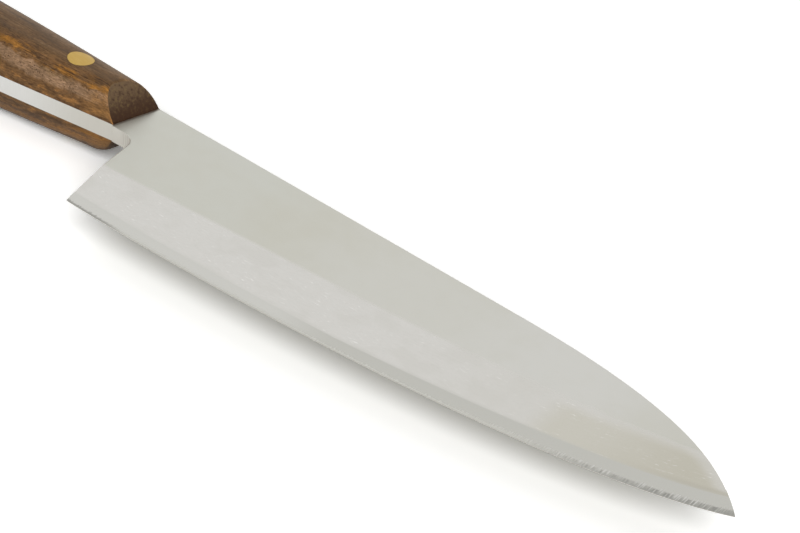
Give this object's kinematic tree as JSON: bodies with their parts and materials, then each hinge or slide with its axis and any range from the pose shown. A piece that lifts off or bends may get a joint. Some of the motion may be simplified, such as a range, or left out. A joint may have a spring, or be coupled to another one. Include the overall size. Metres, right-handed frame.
{
  "type": "kitchen knife",
  "caption": "Deba knife with a double-bevel satin steel blade, a full tang and two dark hardwood handle scales held by flush brass rivets.",
  "frame": {"origin": "bottom centre of the knife's bounding box, as it lies level on its left side", "axes": "+X from the butt of the handle to the tip of the blade, +Y from the cutting edge to the spine, +Z out of the blade's right-hand face, which lies upwards"},
  "size_m": [0.311, 0.047, 0.0272],
  "materials": {
    "satin_steel": "satin",
    "dark_hardwood": "oiled, satin",
    "brass": "sanded flush"
  },
  "bodies": {
    "root": {"blade": "satin_steel", "scale_right": "dark_hardwood", "scale_left": "dark_hardwood", "rivet_front_tube_half": "brass", "rivet_front_pin_half": "brass", "rivet_middle_tube_half": "brass", "rivet_middle_pin_half": "brass", "rivet_rear_tube_half": "brass", "rivet_rear_pin_half": "brass"}
  },
  "joints": []
}
